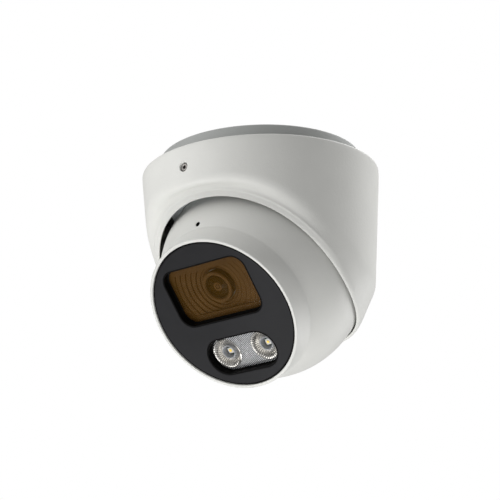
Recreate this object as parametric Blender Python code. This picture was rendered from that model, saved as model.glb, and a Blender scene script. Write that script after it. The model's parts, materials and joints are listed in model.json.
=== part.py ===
"""A turret security camera that hangs from a ceiling, built from its separate parts.

Sizes below are millimetres, and each mesh is scaled to metres when its object is made. +Z is up and -Y is
the way the camera looks. The origin is the centre of the face that lies on the ceiling.

Three empties carry the moving parts: pan_axis turns the cover and everything in it about Z, tilt_axis
raises the view about a level line through the ball's centre, and roll_axis turns the ball about the axis
that it looks along. The parts of the ball are modelled in roll_axis's own frame, where +Z is the view
axis, +Y is up the face of the camera and the ball's centre is the origin.
"""

import math

import bmesh
import bpy
from mathutils import Matrix, Vector

MM = 0.001
GAP = 0.3  # clearance between parts that touch on the real camera
FULL_TURN = 2 * math.pi

# Whole camera
BALL_CENTRE = Vector((0, 0, -61.8))
BALL_RADIUS = 52.4
SHELL_WALL = 3.2
VIEW_TILT = math.radians(50.2)  # from straight down towards the front
LARGE_SEGMENTS = 36
SMALL_SEGMENTS = 16

# Mounting base
BASE_RADIUS = 51.5
BASE_PLATE = 3.0
BASE_BORE = 48.5
SEAL_GROOVE = (44.0, 46.2, 1.5)  # inner radius, outer radius, depth
SPIGOT_TOP = -8.2
SPIGOT_END = -22.2
SPIGOT_RADIUS = 57.0
SPIGOT_BORE = 54.5
SCREW_LINE = -19.5  # height of the set screw and of the groove that it bites in
CEILING_HOLE_CIRCLE = 36.0
CEILING_HOLE_RADIUS = 2.25
CABLE_HOLE_CENTRE = Vector((0, 24, 0))
CABLE_HOLE_RADIUS = 8.0
GROMMET_BORE = 4.2

# Cover
COVER_SEGMENTS = 60
COVER_TOP = -8.5
COVER_RADIUS = 61.0
COVER_TAPER = 0.072  # radius lost per millimetre of height
COVER_BORE = 57.4
COVER_WALL = 2.2
CREST_ROUNDING = 2.8
MOUTH_TILT = math.radians(33.5)  # of the mouth's plane, lower at the back
MOUTH_AXIS = Vector((0, -math.sin(MOUTH_TILT), -math.cos(MOUTH_TILT)))
MOUTH_FRONT = Vector((0, -math.cos(MOUTH_TILT), math.sin(MOUTH_TILT)))
MOUTH_SIDE = Vector((1, 0, 0))
SCREW_HOLE_RADIUS = 2.3
SET_SCREW_RADIUS = 1.95
SET_SCREW_HEAD = 59.45  # how far its outer end is from the pan axis
SET_SCREW_SOCKET = 1.05

# Pan ring, its screws and the guide for the tilt
RING_TOP = -23.0
RING_THICKNESS = 2.5
RING_BORE = 39.0
RING_RADIUS = 56.6
RING_GAP_HALF_ANGLE = math.radians(22)  # open at the back, for the neck of the ball
BOSS_ANGLES = [math.radians(angle) for angle in (60, 125, 235, 300)]  # from the front
BOSS_CIRCLE = 54.2
BOSS_RADIUS = 3.4
BOSS_END = -33.0
SCREW_SHANK = 1.2
SCREW_CLEARANCE = 1.5
SCREW_HEAD = 2.3
GUIDE_INNER = 53.0
GUIDE_OUTER = 54.2
GUIDE_HALF_WIDTH = 13.0
GUIDE_SLOT_HALF_WIDTH = 9.3
GUIDE_START = math.radians(-20)
GUIDE_END = math.radians(76)
GUIDE_SLOT_START = math.radians(-13)
GUIDE_FOOT = 1.5
GUIDE_SCREW_PLACE = (20.0, 38.5)

# Ball, along its view axis
FLAT_AT = -50.0
PARTING_AT = -16.0
CREASE_AT = 31.0
DRUM_FRONT = 41.8
DRUM_FRONT_RADIUS = 41.2
RIM_AT = 42.8
RIM_BORE = 39.6
LEDGE_AT = 36.2
LEDGE_BORE = 36.0
LEDGE_THICKNESS = 2.4
NECK_RADIUS = 5.7
NECK_END = -55.8
NECK_BORE = 3.4
CLIP_GROOVE = (-55.0, -54.0)
CLIP_GROOVE_RADIUS = 5.0
COLLAR_HALF_WIDTH = 9.0
COLLAR_RADIUS = 11.0
COLLAR_THICKNESS = 3.5
MIC_ANGLE = math.radians(56.7)  # from the view axis towards the top of the ball
MIC_HOLE_RADIUS = 1.25

# Face of the camera
BEZEL_RADIUS = 39.0
BEZEL_FRONT = 42.3
BEZEL_THICKNESS = 5.0
LENS_CENTRE = Vector((0, 12.5, 0))
LENS_WINDOW = (51.0, 30.7, 7.0)  # width, height, corner radius
LENS_PANE = (37.6, 38.4)  # back and front of the brown pane
LED_CENTRE = Vector((0, -22.1, 0))
LED_WINDOW = (41.6, 19.4, 9.7)
LED_SPACING = 24.0
LED_PLATE = (37.4, 38.3)
LED_CUP_RADIUS = 7.8
LED_CUP_END_RADIUS = 4.4
LED_CUP_END = 33.6
LED_CUP_HOLLOW = 3.3
LED_PACKAGE = 3.2

# Inside the ball
CHASSIS = (28.0, 30.2)
CHASSIS_RADIUS = 36.4
LUG_PLACES = ((33.3, -8.5), (-33.3, -8.5), (12.5, 32.1), (-12.5, 32.1))
LUG_RADIUS = 3.0
FRONT_SCREW_RADIUS = 1.0
FRONT_SCREW_CLEARANCE = 1.3
BARREL_RADIUS = 7.0
BARREL_FLANGE_RADIUS = 8.3
BARREL_FRONT = 37.3
BARREL_BACK = 17.0
HOLDER = (14.0, 24.2)
SENSOR_BOARD = (12.1, 13.7)
MAIN_BOARD = (-2.0, -0.4)
MAIN_BOARD_RADIUS = 38.0
STANDOFF_PLACES = ((28.0, 0.0), (-28.0, 0.0), (0.0, -30.0))
STANDOFF_RADIUS = 2.5


def material(name, colour, roughness, metallic=0.0):
    """A plain Principled material."""
    made = bpy.data.materials.new(name)
    made.use_nodes = True
    shader = made.node_tree.nodes["Principled BSDF"]
    shader.inputs["Base Color"].default_value = (*colour, 1.0)
    shader.inputs["Roughness"].default_value = roughness
    shader.inputs["Metallic"].default_value = metallic
    return made


def make_object(name, bm, look, parent=None, place=Matrix.Identity(4), cutter=False):
    """Turn a bmesh in millimetres into an object in metres, under its parent's axis."""
    bm.transform(Matrix.Scale(MM, 4) @ place)
    bmesh.ops.recalc_face_normals(bm, faces=bm.faces)
    mesh = bpy.data.meshes.new(name)
    bm.to_mesh(mesh)
    bm.free()
    mesh.shade_smooth()
    mesh.set_sharp_from_angle(angle=math.radians(30))
    made = bpy.data.objects.new(name, mesh)
    bpy.context.scene.collection.objects.link(made)
    made.parent = parent
    if cutter:
        made.hide_render = True
        made.display_type = "WIRE"
    else:
        mesh.materials.append(look)
    return made


def combine(target, tool_bm, operation="DIFFERENCE", place=Matrix.Identity(4)):
    """Cut a shape from an object, or join one to it."""
    name = f"{target.name}_tool_{len(target.modifiers) + 1}"
    tool = make_object(name, tool_bm, None, target.parent, place, cutter=True)
    modifier = target.modifiers.new(name, "BOOLEAN")
    modifier.operation = operation
    modifier.solver = "EXACT"
    modifier.object = tool


def move(x, y, z=0.0):
    return Matrix.Translation((x, y, z))


def circle(radius, z, segments):
    angles = [FULL_TURN * k / segments for k in range(segments)]
    return [(radius * math.cos(a), radius * math.sin(a), z) for a in angles]


def join_rings(bm, ring, following):
    """Faces between two rings of as many points."""
    for k in range(len(ring)):
        after = (k + 1) % len(ring)
        bm.faces.new((ring[k], ring[after], following[after], following[k]))


def looped(loops):
    """A closed ring-shaped solid through loops of points, the last joined to the first."""
    bm = bmesh.new()
    rings = [[bm.verts.new(point) for point in loop] for loop in loops]
    for ring, following in zip(rings, rings[1:] + rings[:1]):
        join_rings(bm, ring, following)
    return bm


def swept(sections):
    """A solid through a row of equal sections, closed by flat ends."""
    bm = bmesh.new()
    rings = [[bm.verts.new(point) for point in section] for section in sections]
    for ring, following in zip(rings, rings[1:]):
        join_rings(bm, ring, following)
    bm.faces.new(rings[0])
    bm.faces.new(list(reversed(rings[-1])))
    return bm


def turned_ring(profile, segments=SMALL_SEGMENTS):
    """A ring turned about Z from the corners (radius, height) of its section."""
    return looped([circle(radius, z, segments) for radius, z in profile])


def turned(profile, segments=SMALL_SEGMENTS):
    """A solid turned about Z from the corners (radius, height) of its side, with flat ends."""
    return swept([circle(radius, z, segments) for radius, z in profile])


def prism(outline, low, high):
    """An outline of (x, y) points raised from one height to another."""
    return swept([[(x, y, z) for x, y in outline] for z in (low, high)])


def disc(radius, low, high, segments=SMALL_SEGMENTS):
    return turned([(radius, high), (radius, low)], segments)


def tube(bore, radius, low, high, segments=SMALL_SEGMENTS):
    return turned_ring([(bore, high), (radius, high), (radius, low), (bore, low)], segments)


def rounded_rectangle(width, height, corner, steps=6):
    """The outline of a rectangle with round corners, or of a stadium."""
    outline = []
    for turn, (sx, sy) in enumerate(((1, 1), (-1, 1), (-1, -1), (1, -1))):
        for k in range(steps + 1):
            angle = math.pi / 2 * (turn + k / steps)
            x = sx * (width / 2 - corner) + corner * math.cos(angle)
            y = sy * (height / 2 - corner) + corner * math.sin(angle)
            if not outline or math.dist(outline[-1], (x, y)) > 0.01:
                outline.append((x, y))
    if math.dist(outline[0], outline[-1]) < 0.01:
        outline.pop()
    return outline


def slab(width, depth, low, high):
    """A block centred on Z between two heights."""
    return prism([(width / 2, depth / 2), (-width / 2, depth / 2), (-width / 2, -depth / 2),
                  (width / 2, -depth / 2)], low, high)


def smaller(size, gap=GAP):
    """A window's width, height and corner radius, less a gap all round."""
    width, height, corner = size
    return width - 2 * gap, height - 2 * gap, corner - gap


def on_sphere(radius, height):
    """The (radius, height) point of a sphere about the ball's centre."""
    return math.sqrt(radius ** 2 - height ** 2), height


def cap_screw(shank, head, length, head_height, low_at):
    """A screw along +Z, its head at the bottom and its shank above it."""
    under_head = low_at + head_height
    return turned([(shank, under_head + length), (shank, under_head), (head, under_head), (head, low_at)], 12)


# ---------------------------------------------------------------- the mounting base and what stays on it

def build_mounting_base(look):
    groove_in, groove_out, groove_deep = SEAL_GROOVE
    profile = [
        (groove_in, 0), (groove_in, -groove_deep), (groove_out, -groove_deep), (groove_out, 0),
        (BASE_RADIUS - 0.8, 0), (BASE_RADIUS, -0.8), (BASE_RADIUS, SPIGOT_TOP),
        (SPIGOT_RADIUS, SPIGOT_TOP), (SPIGOT_RADIUS, SCREW_LINE + 1), (SPIGOT_RADIUS - 1, SCREW_LINE),
        (SPIGOT_RADIUS, SCREW_LINE - 1), (SPIGOT_RADIUS, SPIGOT_END), (SPIGOT_BORE, SPIGOT_END),
        (SPIGOT_BORE, SPIGOT_TOP - 3.8), (BASE_BORE, SPIGOT_TOP - 1.8), (BASE_BORE, -BASE_PLATE),
    ]
    base = make_object("mounting_base", turned(profile, LARGE_SEGMENTS), look)
    for k in range(3):
        angle = math.radians(30 + 120 * k)
        place = move(CEILING_HOLE_CIRCLE * math.cos(angle), CEILING_HOLE_CIRCLE * math.sin(angle))
        combine(base, disc(CEILING_HOLE_RADIUS, -BASE_PLATE - 1, 1, 16), place=place)
    combine(base, disc(CABLE_HOLE_RADIUS, -BASE_PLATE - 1, 1), place=move(*CABLE_HOLE_CENTRE))


def build_ceiling_seal(look):
    groove_in, groove_out, groove_deep = SEAL_GROOVE
    seal = tube(groove_in + GAP, groove_out - GAP, GAP - groove_deep, 0, LARGE_SEGMENTS)
    make_object("ceiling_seal", seal, look)


def build_cable_grommet(look):
    body = CABLE_HOLE_RADIUS - GAP
    under = -BASE_PLATE - GAP
    profile = [(GROMMET_BORE, -GAP), (body, -GAP), (body, under), (body + 2, under), (body + 2, under - 1.2),
               (GROMMET_BORE, under - 1.2)]
    make_object("cable_grommet", turned_ring(profile), look, place=move(*CABLE_HOLE_CENTRE))


# ---------------------------------------------------------------- the cover and the parts that pan with it

def cover_radius(z):
    """The radius of the cover's tapered wall."""
    return COVER_RADIUS - COVER_TAPER * (COVER_TOP - z)


def around(radius, azimuth, z):
    """A point at an azimuth that is zero at the front and grows towards +X."""
    return Vector((radius * math.sin(azimuth), -radius * math.cos(azimuth), z))


def crest(azimuth):
    """Where the cover's wall ends: high at the front, falling to a level stretch at the back."""
    y = -cover_radius(BALL_CENTRE.z) * math.cos(azimuth)
    shoulder = 5 * math.sin(2 * azimuth) ** 2 * max(0.0, math.cos(azimuth))
    slope = 1.6 - 0.55 * y + shoulder
    floor, softness = -9.3, 2.2
    height = floor + softness * math.log1p(math.exp((slope - floor) / softness))
    z = BALL_CENTRE.z + height
    return around(cover_radius(z), azimuth, z)


def mouth_outward(angle):
    """The direction from the middle of the mouth to its edge, zero at the front."""
    return math.cos(angle) * MOUTH_FRONT + math.sin(angle) * MOUTH_SIDE


def mouth_edge(angle):
    """The inner edge of the mouth, a rounded loop that stands proud at its sides."""
    radius = 53.3 + 1.4 * math.cos(angle) + 1.6 * math.cos(2 * angle) + 0.3 * math.cos(3 * angle)
    height = 7.35 - 5.16 * math.cos(2 * angle) + 1.56 * math.cos(3 * angle)
    return BALL_CENTRE + radius * mouth_outward(angle) + height * MOUTH_AXIS


def lip_outer(angle):
    """The outer edge of the lip around the mouth."""
    width = 2.6 + 0.6 * math.cos(angle)
    return mouth_edge(angle) + width * mouth_outward(angle) - 1.2 * MOUTH_AXIS


def lip_foot(angle):
    """Where the shoulder meets the short wall that carries the lip at the back."""
    back = (1 - math.cos(angle)) / 2
    return lip_outer(angle) - 6.0 * back ** 2 * MOUTH_AXIS + 0.4 * mouth_outward(angle)


def cover_loops():
    """The cover's loops of points: down its outside, round the lip and up its inside."""
    angles = [FULL_TURN * k / COVER_SEGMENTS for k in range(COVER_SEGMENTS)]

    def level(radius, z):
        return [around(radius, angle, z) for angle in angles]

    def on_rounding(angle, share):
        """A point on the crest's rounding, from the wall's end of it to the shoulder's."""
        corner = crest(angle)
        start = corner + Vector((0, 0, CREST_ROUNDING))
        end = corner + CREST_ROUNDING * (lip_foot(angle) - corner).normalized()
        return start * (1 - share) ** 2 + corner * 2 * share * (1 - share) + end * share ** 2

    def inner_crest(angle):
        top = crest(angle)
        return around(math.hypot(top.x, top.y) - COVER_WALL, angle, top.z + 2.0)

    return [
        level(COVER_BORE, COVER_TOP),
        level(COVER_RADIUS - 1.8, COVER_TOP),
        level(COVER_RADIUS - 0.55, COVER_TOP - 0.5),
        level(COVER_RADIUS, COVER_TOP - 1.8),
        [on_rounding(a, 0) for a in angles],
        [on_rounding(a, 0.33) for a in angles],
        [on_rounding(a, 0.67) for a in angles],
        [on_rounding(a, 1) for a in angles],
        [lip_foot(a) for a in angles],
        [lip_outer(a) for a in angles],
        [mouth_edge(a) + 1.3 * mouth_outward(a) + 0.2 * MOUTH_AXIS for a in angles],
        [mouth_edge(a) for a in angles],
        [mouth_edge(a) - 2.0 * MOUTH_AXIS + 0.6 * mouth_outward(a) for a in angles],
        [lip_outer(a) - 2.0 * MOUTH_AXIS for a in angles],
        [inner_crest(a) for a in angles],
        level(COVER_BORE, SPIGOT_END - 0.6),
    ]


def build_cover(look, pan_axis):
    cover = make_object("cover", looped(cover_loops()), look, pan_axis)
    ring_under = RING_TOP - RING_THICKNESS - GAP
    for angle in BOSS_ANGLES:
        place = Matrix.Translation(around(BOSS_CIRCLE, angle, 0))
        combine(cover, disc(BOSS_RADIUS, BOSS_END, ring_under), "UNION", place)
        combine(cover, disc(SCREW_CLEARANCE, BOSS_END + 1.5, ring_under + 1, 12), place=place)
    facing = Matrix.Translation((0, 0, SCREW_LINE)) @ Matrix.Rotation(math.pi / 2, 4, "X")
    combine(cover, disc(SCREW_HOLE_RADIUS, COVER_BORE - 3, COVER_RADIUS + 2), place=facing)


def build_set_screw(look, pan_axis):
    """A set screw with a hexagon socket, its point in the groove of the base's spigot."""
    point_at = SPIGOT_RADIUS - 0.3
    profile = [(0.3, point_at), (SET_SCREW_RADIUS, point_at + 1.4), (SET_SCREW_RADIUS, SET_SCREW_HEAD - 0.25),
               (SET_SCREW_RADIUS - 0.25, SET_SCREW_HEAD)]
    facing = Matrix.Translation((0, 0, SCREW_LINE)) @ Matrix.Rotation(math.pi / 2, 4, "X")
    screw = make_object("set_screw", turned(profile), look, pan_axis, facing)
    combine(screw, disc(SET_SCREW_SOCKET, SET_SCREW_HEAD - 1.85, SET_SCREW_HEAD + 2, 6), place=facing)


def ring_arc(profile, half_gap, steps):
    """A ring about Z that is open at the back, from the corners (radius, height) of its section."""
    sections = []
    for k in range(steps + 1):
        azimuth = half_gap - math.pi + (FULL_TURN - 2 * half_gap) * k / steps
        sections.append([around(radius, azimuth, z) for radius, z in profile])
    return swept(sections)


def build_pan_ring(look, pan_axis):
    low = RING_TOP - RING_THICKNESS
    profile = [(RING_BORE, RING_TOP), (RING_RADIUS, RING_TOP), (RING_RADIUS, low), (RING_BORE, low)]
    ring = make_object("pan_ring", ring_arc(profile, RING_GAP_HALF_ANGLE, 30), look, pan_axis)
    for angle in BOSS_ANGLES:
        place = Matrix.Translation(around(BOSS_CIRCLE, angle, 0))
        hole = turned([(SCREW_HEAD + 0.15, RING_TOP + 1), (SCREW_HEAD + 0.15, RING_TOP - 1.3),
                       (SCREW_CLEARANCE, RING_TOP - 1.3), (SCREW_CLEARANCE, low - 1)], 12)
        combine(ring, hole, place=place)
    for side in (1, -1):
        x, y = GUIDE_SCREW_PLACE
        combine(ring, disc(SCREW_CLEARANCE, low - 1, RING_TOP + 1, 12), place=move(side * x, y))


def build_pan_ring_screws(look, pan_axis):
    """Four screws that hold the pan ring down on the cover's bosses."""
    for number, angle in enumerate(BOSS_ANGLES, 1):
        head_under = RING_TOP - 1.0
        profile = [(SCREW_HEAD - 0.15, RING_TOP), (SCREW_HEAD - 0.15, head_under),
                   (SCREW_SHANK, head_under), (SCREW_SHANK, BOSS_END + 2)]
        place = Matrix.Translation(around(BOSS_CIRCLE, angle, 0))
        make_object(f"pan_ring_screw_{number}", turned(profile, 12), look, pan_axis, place)


def guide_band(half_width, inner, outer, start, end, steps):
    """A strip of a sphere about the ball's centre, running from the top towards the back."""
    across = [half_width * (k / 3 - 1) for k in range(7)]
    sections = []
    for k in range(steps + 1):
        angle = start + (end - start) * k / steps
        back = Vector((0, math.sin(angle), math.cos(angle)))
        section = []
        for radius, widths in ((inner, across), (outer, reversed(across))):
            for x in widths:
                section.append(BALL_CENTRE + Vector((x, 0, 0)) + math.sqrt(radius ** 2 - x ** 2) * back)
        sections.append(section)
    return swept(sections)


def build_tilt_guide(look, pan_axis):
    """A slotted strip over the ball, which lets the collar on its neck swing up and down only."""
    band = guide_band(GUIDE_HALF_WIDTH, GUIDE_INNER, GUIDE_OUTER, GUIDE_START, GUIDE_END, 24)
    guide = make_object("tilt_guide", band, look, pan_axis)
    slot = guide_band(GUIDE_SLOT_HALF_WIDTH, GUIDE_INNER - 2, GUIDE_OUTER + 2, GUIDE_SLOT_START,
                      GUIDE_END + 0.1, 24)
    combine(guide, slot)
    foot_low = RING_TOP + GAP
    x, y = GUIDE_SCREW_PLACE
    for side in (1, -1):
        foot = slab(12, 8, foot_low, foot_low + GUIDE_FOOT)
        combine(guide, foot, "UNION", move(side * (x - 2), y))
    for side in (1, -1):
        combine(guide, disc(SCREW_CLEARANCE, foot_low - 1, foot_low + 3, 12), place=move(side * x, y))


def build_guide_screws(look, pan_axis):
    for number, side in enumerate((1, -1), 1):
        x, y = GUIDE_SCREW_PLACE
        under = RING_TOP + GUIDE_FOOT + 2 * GAP
        profile = [(SCREW_HEAD, under + 1), (SCREW_HEAD, under), (SCREW_SHANK, under),
                   (SCREW_SHANK, RING_TOP - RING_THICKNESS)]
        make_object(f"guide_screw_{number}", turned(profile, 12), look, pan_axis, move(side * x, y))


def build_friction_pad(look, pan_axis):
    """A rubber ring under the pan ring that presses on the top of the ball and holds its tilt."""
    top = RING_TOP - RING_THICKNESS - GAP
    low = top - 3.2
    ride = BALL_RADIUS + GAP + 0.1
    inner = [on_sphere(ride, z - BALL_CENTRE.z)[0] for z in (top, low)]
    profile = [(inner[0], top), (46, top), (46, low), (inner[1], low)]
    pad = ring_arc(profile, RING_GAP_HALF_ANGLE + math.radians(2), 30)
    make_object("friction_pad", pad, look, pan_axis)


# ---------------------------------------------------------------- the collar between the cover and the ball

def build_swivel_collar(look, tilt_axis):
    """A ring on the ball's neck whose two flats run in the tilt guide's slot."""
    reach = math.acos(COLLAR_HALF_WIDTH / COLLAR_RADIUS)
    outline = []
    for side in (0, math.pi):
        for k in range(9):
            angle = side + reach + (math.pi - 2 * reach) * k / 8
            outline.append((COLLAR_RADIUS * math.cos(angle), COLLAR_RADIUS * math.sin(angle)))
    high = FLAT_AT - GAP
    collar = make_object("swivel_collar", prism(outline, high - COLLAR_THICKNESS, high), look, tilt_axis)
    combine(collar, disc(NECK_RADIUS + GAP, high - 10, high + 5))


# ---------------------------------------------------------------- the ball

def build_rear_shell(look, roll_axis):
    inner = BALL_RADIUS - SHELL_WALL
    inner_flat = FLAT_AT + SHELL_WALL
    face = PARTING_AT - GAP / 2
    groove_low, groove_high = CLIP_GROOVE
    outer_heights = [face, -22, -28, -34, -40, -45, FLAT_AT]
    inner_heights = [inner_flat, -42, -36, -30, -24, -18.5]
    profile = [on_sphere(BALL_RADIUS, z) for z in outer_heights]
    profile += [(NECK_RADIUS, FLAT_AT), (NECK_RADIUS, groove_high), (CLIP_GROOVE_RADIUS, groove_high),
                (CLIP_GROOVE_RADIUS, groove_low), (NECK_RADIUS, groove_low), (NECK_RADIUS, NECK_END),
                (NECK_BORE, NECK_END), (NECK_BORE, inner_flat)]
    profile += [on_sphere(inner, z) for z in inner_heights]
    profile += [(44.7, face), (44.7, -11.0), (46.2, -11.0), (46.2, -12.2), (45.2, -12.2), (45.2, -14.2),
                (46.2, -14.2), (46.2, face)]
    make_object("rear_shell", turned_ring(profile, LARGE_SEGMENTS), look, roll_axis)


def build_shell_seal(look, roll_axis):
    seal = turned_ring([(45.5, -12.5), (46.4, -12.5), (46.8, -13.2), (46.4, -13.9), (45.5, -13.9)],
                       LARGE_SEGMENTS)
    make_object("shell_seal", seal, look, roll_axis)


def build_front_shell(look, roll_axis):
    inner = BALL_RADIUS - SHELL_WALL
    face = PARTING_AT + GAP / 2
    ledge_back = LEDGE_AT - LEDGE_THICKNESS
    profile = [(RIM_BORE, LEDGE_AT), (RIM_BORE, RIM_AT - 0.2), (RIM_BORE + 0.25, RIM_AT),
               (DRUM_FRONT_RADIUS - 0.5, RIM_AT), (DRUM_FRONT_RADIUS - 0.15, RIM_AT - 0.25),
               (DRUM_FRONT_RADIUS, DRUM_FRONT)]
    profile += [on_sphere(BALL_RADIUS, z) for z in (CREASE_AT, 24, 16, 8, 0, -8, face)]
    profile += [on_sphere(inner, z) for z in (face, -6, 4, 14, 23, 30.5)]
    profile += [(LEDGE_BORE, ledge_back), (LEDGE_BORE, LEDGE_AT)]
    shell = make_object("front_shell", turned_ring(profile, LARGE_SEGMENTS), look, roll_axis)
    for x, y in LUG_PLACES:
        combine(shell, disc(LUG_RADIUS, ledge_back - 2, LEDGE_AT), "UNION", move(x, y))
    for x, y in LUG_PLACES:
        combine(shell, disc(FRONT_SCREW_CLEARANCE, 25, LEDGE_AT + 1, 12), place=move(x, y))
    toward_mic = Matrix.Rotation(-MIC_ANGLE, 4, "X")
    combine(shell, disc(MIC_HOLE_RADIUS, inner - 3, BALL_RADIUS + 2, 12), place=toward_mic)


def build_collar_clip(look, roll_axis):
    """The spring clip that keeps the collar on the neck."""
    groove_low, groove_high = CLIP_GROOVE
    clip = tube(CLIP_GROOVE_RADIUS + 0.25, 8.0, groove_low + 0.2, groove_high - 0.2)
    make_object("collar_clip", clip, look, roll_axis)


def build_cable_gland(look, roll_axis):
    seat = FLAT_AT + SHELL_WALL + GAP
    profile = [(2.1, seat + 2), (6, seat + 2), (6, seat), (NECK_BORE - GAP, seat),
               (NECK_BORE - GAP, NECK_END + GAP), (2.1, NECK_END + GAP)]
    make_object("cable_gland", turned_ring(profile), look, roll_axis)


def build_front_bezel(look, roll_axis):
    back = BEZEL_FRONT - BEZEL_THICKNESS
    profile = [(BEZEL_RADIUS - 0.3, BEZEL_FRONT), (BEZEL_RADIUS, BEZEL_FRONT - 0.3), (BEZEL_RADIUS, back)]
    bezel = make_object("front_bezel", turned(profile, LARGE_SEGMENTS), look, roll_axis)
    for window, centre in ((LENS_WINDOW, LENS_CENTRE), (LED_WINDOW, LED_CENTRE)):
        opening = prism(rounded_rectangle(*window), back - 1, BEZEL_FRONT + 1)
        combine(bezel, opening, place=move(*centre))
    for x, y in LUG_PLACES:
        combine(bezel, disc(FRONT_SCREW_CLEARANCE, back - 1, back + 3, 12), place=move(x, y))


def build_bezel_seal(look, roll_axis):
    back = BEZEL_FRONT - BEZEL_THICKNESS
    seal = tube(LEDGE_BORE + 0.6, BEZEL_RADIUS - 0.4, LEDGE_AT + GAP, back - GAP, LARGE_SEGMENTS)
    make_object("bezel_seal", seal, look, roll_axis)


def build_lens_window(look, roll_axis):
    pane = prism(rounded_rectangle(*smaller(LENS_WINDOW)), *LENS_PANE)
    make_object("lens_window", pane, look, roll_axis, move(*LENS_CENTRE))


def build_lens_baffle(look, roll_axis):
    """The stepped funnel around the lens, behind the brown pane."""
    high = BEZEL_FRONT - BEZEL_THICKNESS - GAP
    low = LEDGE_AT - LEDGE_THICKNESS - 0.2
    block = prism(rounded_rectangle(52, 32, 7.5), low, high)
    baffle = make_object("lens_baffle", block, look, roll_axis, move(*LENS_CENTRE))
    bore = BARREL_FLANGE_RADIUS + GAP
    funnel = turned([(14.6, high + 1), (14.6, high - 0.6), (12.2, high - 0.9), (12.2, high - 1.8),
                     (bore + 1, high - 2.1), (bore, low - 1)], 32)
    combine(baffle, funnel, place=move(*LENS_CENTRE))


def build_lens(barrel_look, glass_look, ring_look, roll_axis):
    place = move(*LENS_CENTRE)
    flange_back = BARREL_FRONT - 2.8
    seat = BARREL_FRONT - 3.7
    barrel = turned_ring([(6.4, BARREL_FRONT), (BARREL_FLANGE_RADIUS, BARREL_FRONT),
                     (BARREL_FLANGE_RADIUS, flange_back), (BARREL_RADIUS, flange_back),
                     (BARREL_RADIUS, BARREL_BACK), (5.0, BARREL_BACK), (5.0, seat), (6.4, seat)], 28)
    make_object("lens_barrel", barrel, barrel_look, roll_axis, place)
    glass_radius, dome = 6.1, 1.5
    edge = seat + GAP + 1.0
    curve = [(glass_radius * math.sin(a), edge + dome * math.cos(a))
             for a in (math.radians(angle) for angle in (10, 25, 40, 60, 80, 90))]
    glass = turned(curve + [(glass_radius, seat + GAP)], 28)
    make_object("lens_front_element", glass, glass_look, roll_axis, place)
    lock = tube(BARREL_RADIUS + GAP, 10, HOLDER[1] + GAP, CHASSIS[0] - GAP)
    make_object("lens_lock_ring", lock, ring_look, roll_axis, place)


def build_lens_holder(look, roll_axis):
    low, high = HOLDER
    block = slab(22, 22, low, high)
    holder = make_object("lens_holder", block, look, roll_axis, move(*LENS_CENTRE))
    combine(holder, disc(BARREL_RADIUS + GAP, low - 1, high + 1), place=move(*LENS_CENTRE))


def build_image_sensor(sensor_look, board_look, roll_axis):
    place = move(*LENS_CENTRE)
    low, high = SENSOR_BOARD
    make_object("sensor_board", slab(30, 30, low, high), board_look, roll_axis, place)
    make_object("image_sensor", slab(9, 7, high + GAP, high + 1.5), sensor_look, roll_axis, place)


def build_led_lens(look, roll_axis):
    """The clear plate over the lights, with a cup behind it around each of them."""
    low, high = LED_PLATE
    plate = prism(rounded_rectangle(*smaller(LED_WINDOW)), low, high)
    lens = make_object("led_lens", plate, look, roll_axis, move(*LED_CENTRE))
    for side in (1, -1):
        place = move(LED_CENTRE.x + side * LED_SPACING / 2, LED_CENTRE.y)
        cup = turned([(LED_CUP_RADIUS, low + 0.4), (LED_CUP_RADIUS, low - 0.4),
                      (LED_CUP_END_RADIUS, LED_CUP_END)])
        combine(lens, cup, "UNION", place)
        hollow = disc(LED_CUP_HOLLOW, LED_CUP_END - 1, low - 0.5)
        combine(lens, hollow, place=place)


def build_led_board(look, roll_axis):
    high = LED_CUP_END - 0.4
    board = prism(rounded_rectangle(42, 20, 10), high - 1.5, high)
    make_object("led_board", board, look, roll_axis, move(*LED_CENTRE))


def build_leds(look, roll_axis):
    """Two lights: a square package with a dome on it."""
    low = LED_CUP_END - 0.1
    top = low + 1.5
    for name, side in (("led_right", 1), ("led_left", -1)):
        place = move(LED_CENTRE.x + side * LED_SPACING / 2, LED_CENTRE.y)
        led = make_object(name, slab(LED_PACKAGE, LED_PACKAGE, low, top), look, roll_axis, place)
        dome = turned([(0.3, top + 1.2), (0.85, top + 0.9), (1.3, top), (1.3, top - 0.5)], 16)
        combine(led, dome, "UNION", place)


def build_microphone(capsule_look, boot_look, roll_axis):
    """The microphone and the rubber boot between it and the hole in the shell."""
    toward_mic = Matrix.Rotation(-MIC_ANGLE, 4, "X")
    wall = BALL_RADIUS - SHELL_WALL
    boot = tube(MIC_HOLE_RADIUS + 0.15, 3.2, wall - 2.8, wall - 0.5)
    make_object("mic_boot", boot, boot_look, roll_axis, toward_mic)
    capsule = disc(3.0, wall - 5.8, wall - 3.1)
    make_object("mic_capsule", capsule, capsule_look, roll_axis, toward_mic)


def build_chassis(look, roll_axis):
    """The plate that carries the lens and the boards, screwed against the lugs of the front shell."""
    low, high = CHASSIS
    chassis = make_object("chassis", disc(CHASSIS_RADIUS, low, high, LARGE_SEGMENTS), look, roll_axis)
    combine(chassis, disc(BARREL_RADIUS + 0.5, low - 1, high + 1), place=move(*LENS_CENTRE))
    combine(chassis, slab(12, 6, low - 1, high + 1), place=move(0, LED_CENTRE.y))
    for x, y in LUG_PLACES:
        combine(chassis, disc(FRONT_SCREW_CLEARANCE, low - 1, high + 1, 12), place=move(x, y))


def build_front_screws(look, roll_axis):
    """Screws from behind that clamp the chassis and the bezel to the front shell."""
    head_height = 1.3
    low = CHASSIS[0] - GAP - head_height
    length = BEZEL_FRONT - BEZEL_THICKNESS + 2.6 - (low + head_height)
    for number, (x, y) in enumerate(LUG_PLACES, 1):
        screw = cap_screw(FRONT_SCREW_RADIUS, 1.9, length, head_height, low)
        make_object(f"front_screw_{number}", screw, look, roll_axis, move(x, y))


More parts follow.
